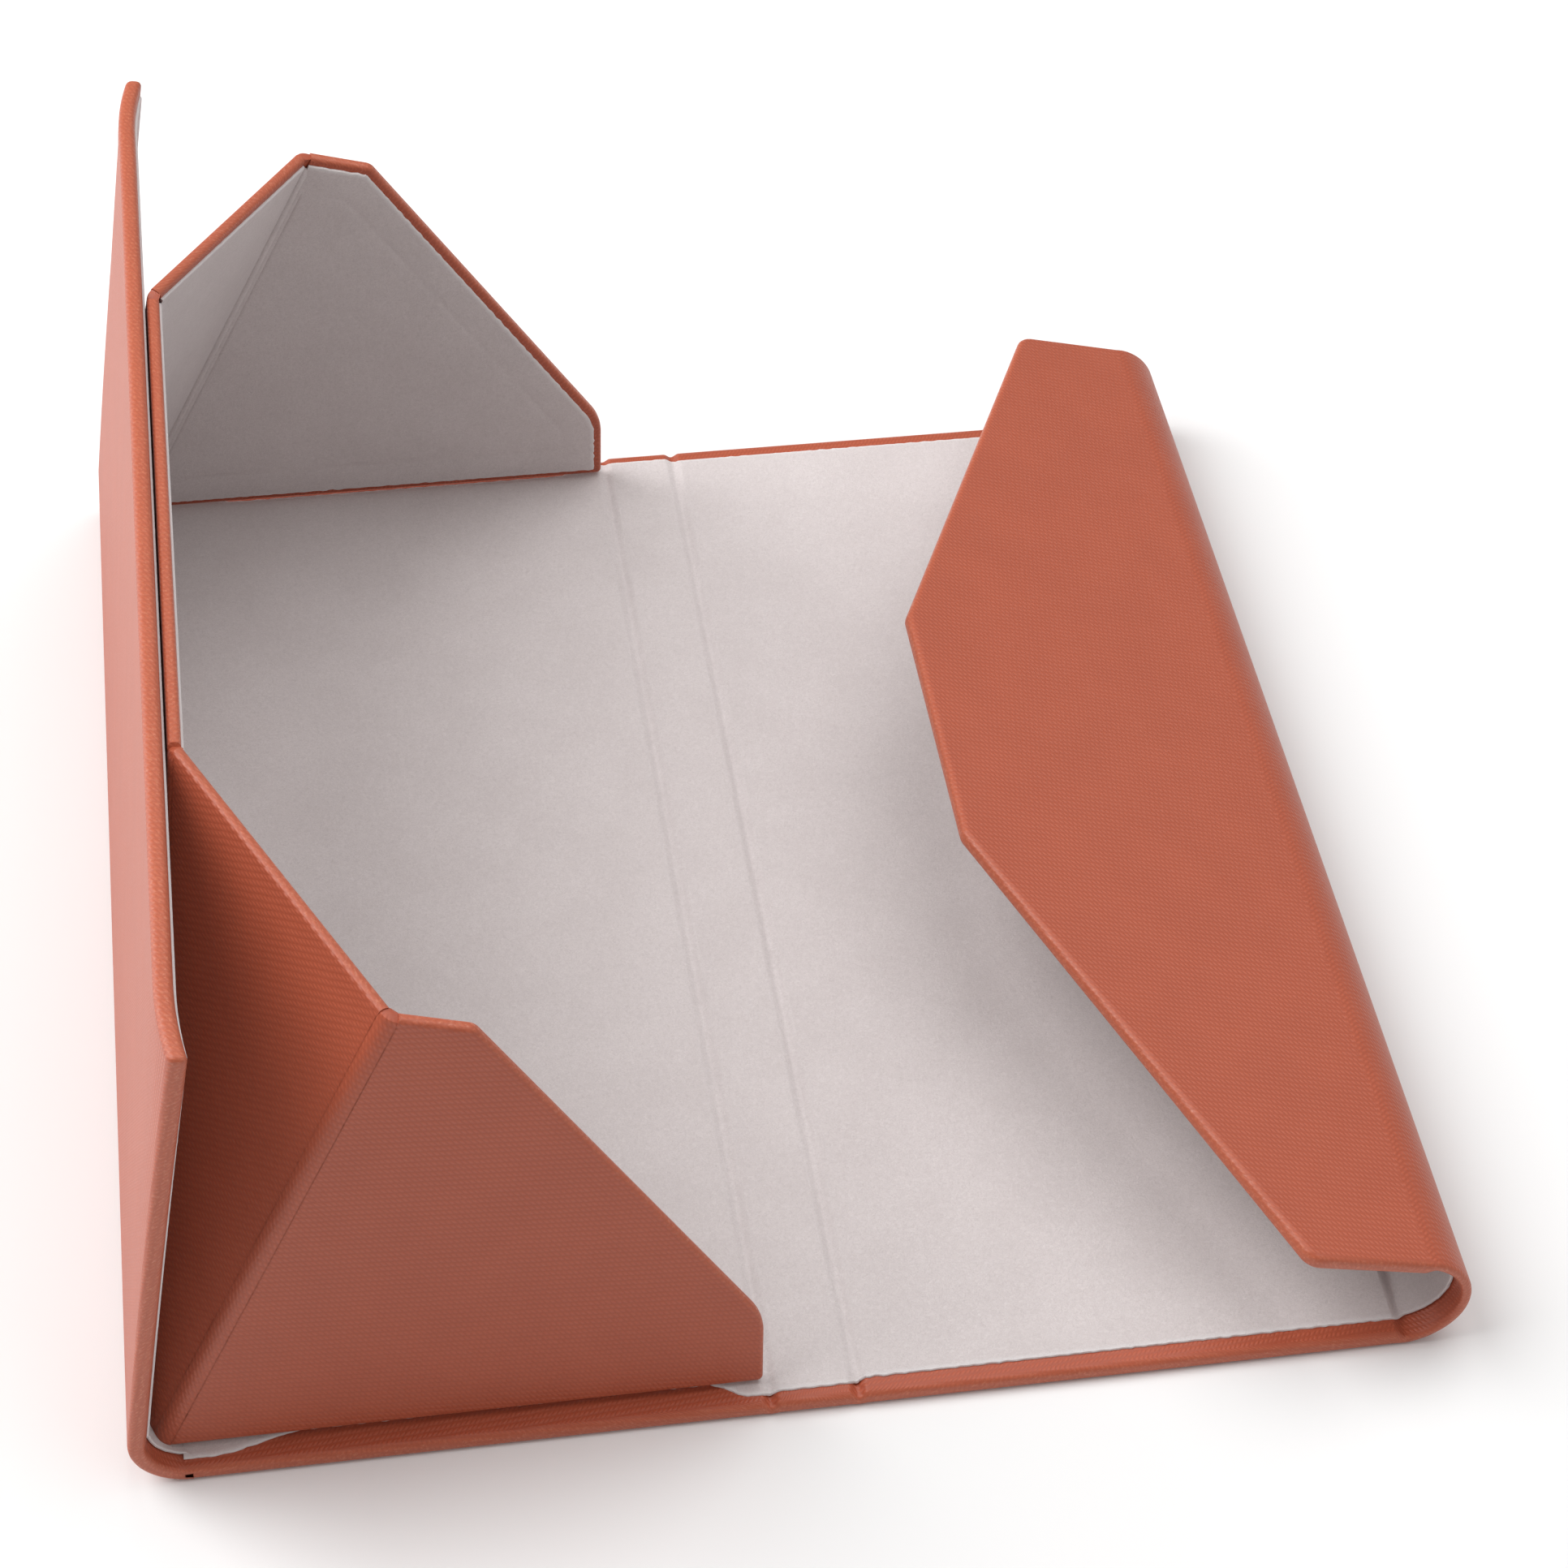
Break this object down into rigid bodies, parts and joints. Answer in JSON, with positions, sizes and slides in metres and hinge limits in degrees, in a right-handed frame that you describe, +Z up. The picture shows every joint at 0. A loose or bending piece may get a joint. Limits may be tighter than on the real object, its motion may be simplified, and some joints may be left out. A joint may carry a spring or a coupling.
{
  "type": "eyeglasses case",
  "caption": "Folding eyeglasses case standing open: leatherette cover with base, back wall, front panel and closing flap, and a lined tray with end gussets and folding corner facets.",
  "frame": {"origin": "middle of the base panel's underside", "axes": "+X across the case from the back wall to the flap, +Y along its length, +Z up"},
  "size_m": [0.1521, 0.165, 0.0718],
  "materials": {
    "leatherette": "fine cross-hatch embossing, satin",
    "microsuede": "short brushed microsuede, matt",
    "greyboard": "plain grey bookbinding board",
    "magnet": "nickel plated disc magnet"
  },
  "bodies": {
    "base": {"base_cover": "leatherette", "base_board": "greyboard", "base_lining": "microsuede", "strip_crease_cover": "leatherette", "strip_crease_lining": "microsuede", "back_spine_cover": "leatherette", "back_spine_lining": "microsuede"},
    "fold_strip": {"fold_strip_cover": "leatherette", "fold_strip_board": "greyboard", "fold_strip_lining": "microsuede", "front_crease_cover": "leatherette", "front_crease_lining": "microsuede"},
    "front_panel": {"front_cover": "leatherette", "front_board": "greyboard", "front_lining": "microsuede", "flap_spine_cover": "leatherette", "flap_spine_lining": "microsuede"},
    "flap": {"flap_cover": "leatherette", "flap_board": "greyboard", "flap_lining": "microsuede", "flap_magnets": "magnet"},
    "back_wall": {"back_wall_cover": "leatherette", "back_wall_board": "greyboard", "back_wall_lining": "microsuede", "back_wall_magnets": "magnet", "tray_wall_cover": "leatherette", "tray_wall_board": "greyboard", "tray_wall_lining": "microsuede"},
    "near_gusset": {"near_gusset_cover": "leatherette", "near_gusset_board": "greyboard", "near_gusset_lining": "microsuede"},
    "far_gusset": {"far_gusset_cover": "leatherette", "far_gusset_board": "greyboard", "far_gusset_lining": "microsuede"},
    "near_corner": {"near_corner_facet_cover": "leatherette", "near_corner_facet_board": "greyboard", "near_corner_facet_lining": "microsuede"},
    "far_corner": {"far_corner_facet_cover": "leatherette", "far_corner_facet_board": "greyboard", "far_corner_facet_lining": "microsuede"}
  },
  "joints": [
    {"name": "back_wall_fold", "type": "hinge", "parent": "base", "child": "back_wall", "pos_m": [-0.03375, 0, 0.0024], "axis": [0, 1, 0], "range_deg": [0, 16.6], "deforming": ["back_spine_cover", "back_spine_lining"]},
    {"name": "near_gusset_fold", "type": "hinge", "parent": "base", "child": "near_gusset", "pos_m": [-0.03375, -0.0779, 0.0024], "axis": [1, 0, 0], "range_deg": [0, 5.11]},
    {"name": "far_gusset_fold", "type": "hinge", "parent": "base", "child": "far_gusset", "pos_m": [-0.03375, 0.0779, 0.0024], "axis": [-1, 0, 0], "range_deg": [0, 5.11]},
    {"name": "near_corner_fold", "type": "hinge", "parent": "back_wall", "child": "near_corner", "pos_m": [-0.03375, -0.0779, 0.0024], "axis": [-0.1235, -0.5, -0.8572], "range_deg": [0, 35.03]},
    {"name": "far_corner_fold", "type": "hinge", "parent": "back_wall", "child": "far_corner", "pos_m": [-0.03375, 0.0779, 0.0024], "axis": [0.1235, -0.5, 0.8572], "range_deg": [0, 35.03]},
    {"name": "strip_fold", "type": "hinge", "parent": "base", "child": "fold_strip", "pos_m": [0.03375, 0, 0.0006], "axis": [0, -1, 0], "range_deg": [0, 50], "deforming": ["strip_crease_cover", "strip_crease_lining"]},
    {"name": "front_panel_fold", "type": "hinge", "parent": "fold_strip", "child": "front_panel", "pos_m": [0.04375, 0, 0.0006], "axis": [0, -1, 0], "range_deg": [0, 50], "deforming": ["front_crease_cover", "front_crease_lining"]},
    {"name": "flap_fold", "type": "hinge", "parent": "front_panel", "child": "flap", "pos_m": [0.10675, 0, 0.0077], "axis": [0, 1, 0], "range_deg": [0, 160], "deforming": ["flap_spine_cover", "flap_spine_lining"]}
  ],
  "couplings": [
    {"joint": "near_gusset_fold", "follows": "back_wall_fold", "ratio": 0.30498},
    {"joint": "far_gusset_fold", "follows": "back_wall_fold", "ratio": 0.30498},
    {"joint": "near_corner_fold", "follows": "back_wall_fold", "ratio": 2.1075},
    {"joint": "far_corner_fold", "follows": "back_wall_fold", "ratio": 2.1075},
    {"joint": "front_panel_fold", "follows": "strip_fold", "ratio": 1}
  ]
}
